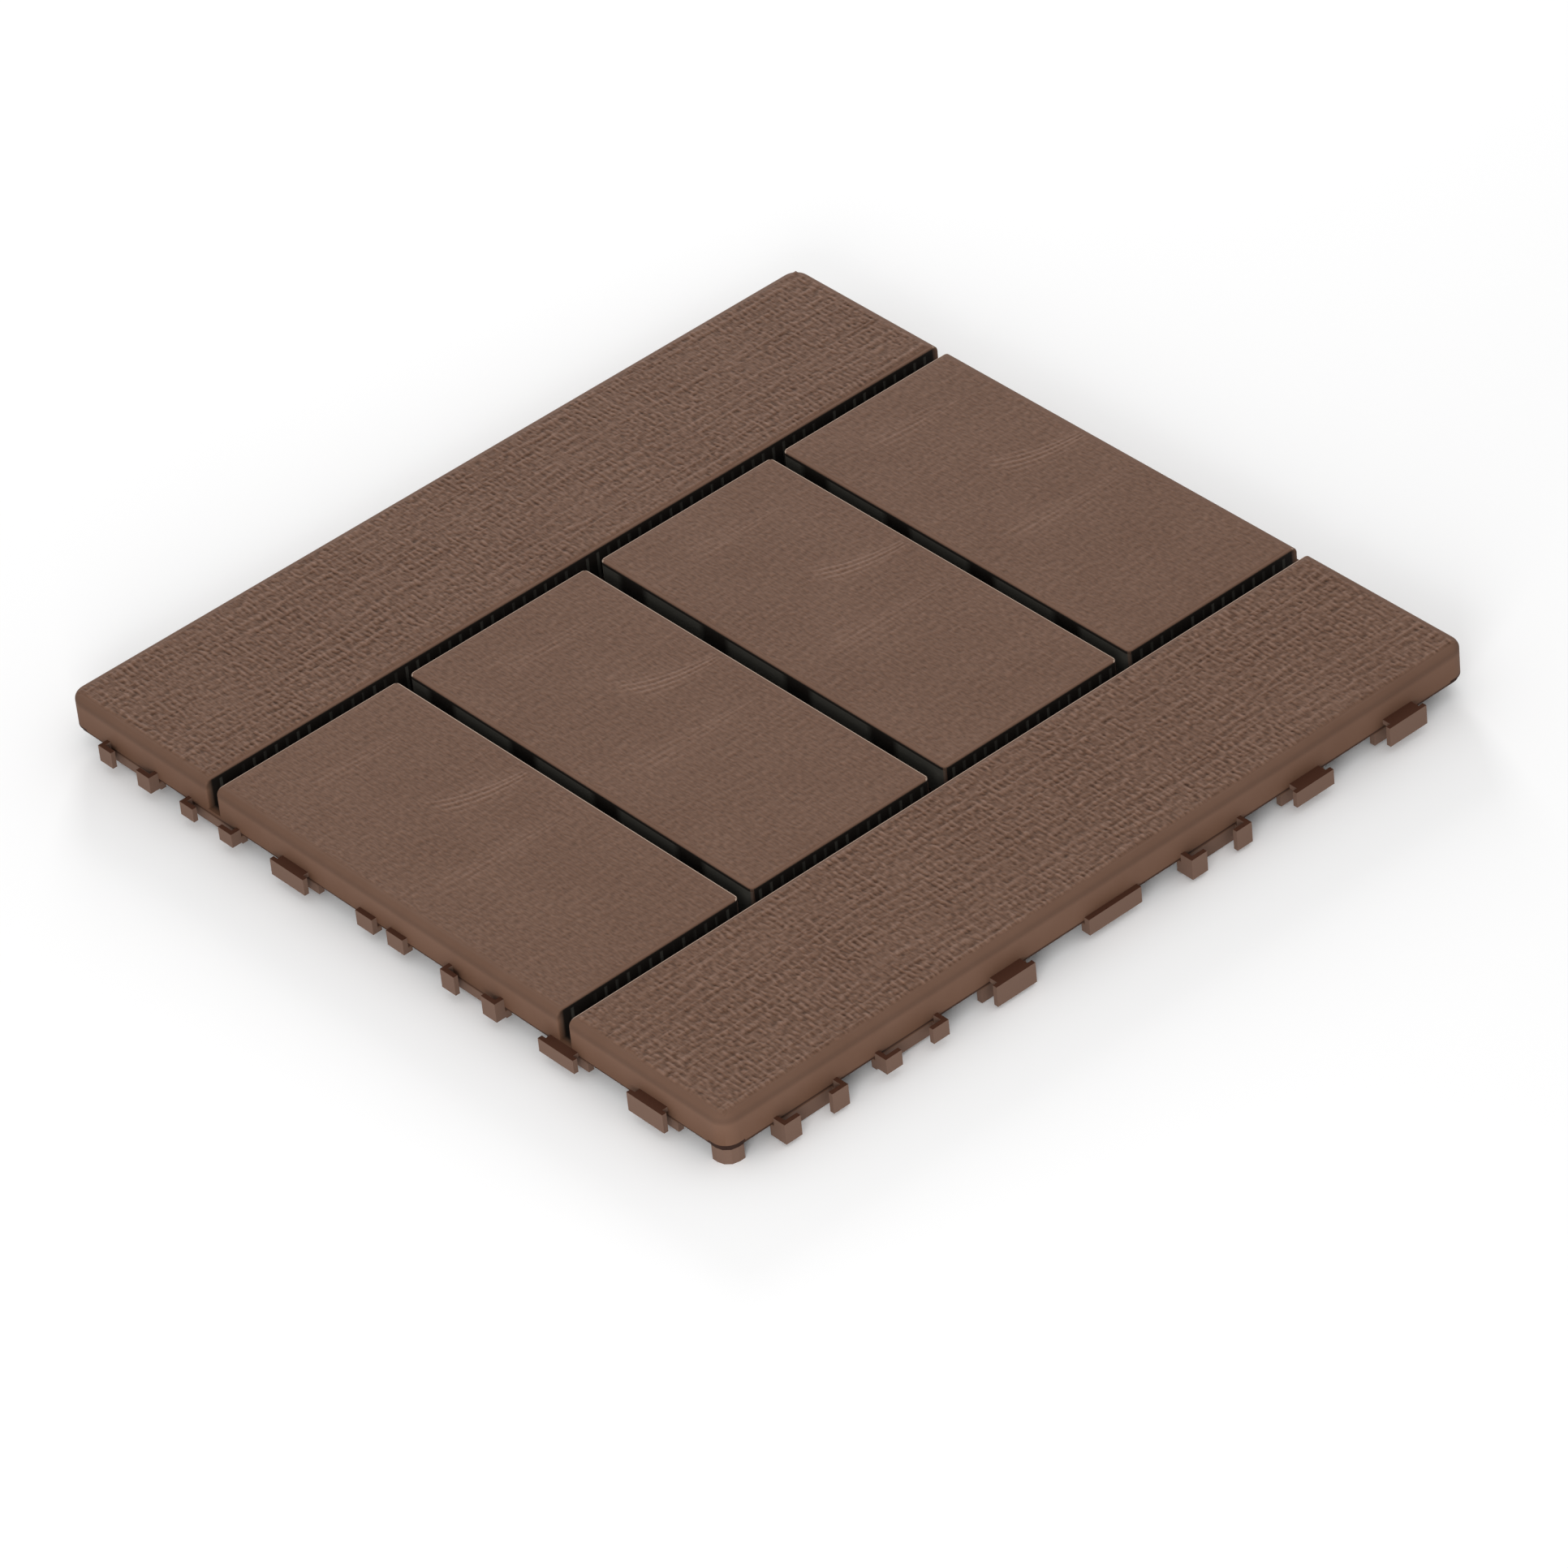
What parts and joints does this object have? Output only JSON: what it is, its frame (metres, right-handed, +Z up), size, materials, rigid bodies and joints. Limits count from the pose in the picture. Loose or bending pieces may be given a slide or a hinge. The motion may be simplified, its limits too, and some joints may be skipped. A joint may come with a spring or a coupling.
{
  "type": "interlocking deck tile",
  "caption": "Square moulded deck tile with plank-like slats, drain gaps between them, a rib grid below and hooks and pockets along the edges.",
  "frame": {"origin": "centre of the footprint, on the ground", "axes": "+Z up, +Y along the two long slats, +X along the short slats"},
  "size_m": [0.3084, 0.3084, 0.0185],
  "materials": {
    "brown_plastic": "matte moulded plastic with an embossed wood grain on the tops of the slats"
  },
  "bodies": {
    "root": {"deck_tile": "brown_plastic"}
  },
  "joints": []
}
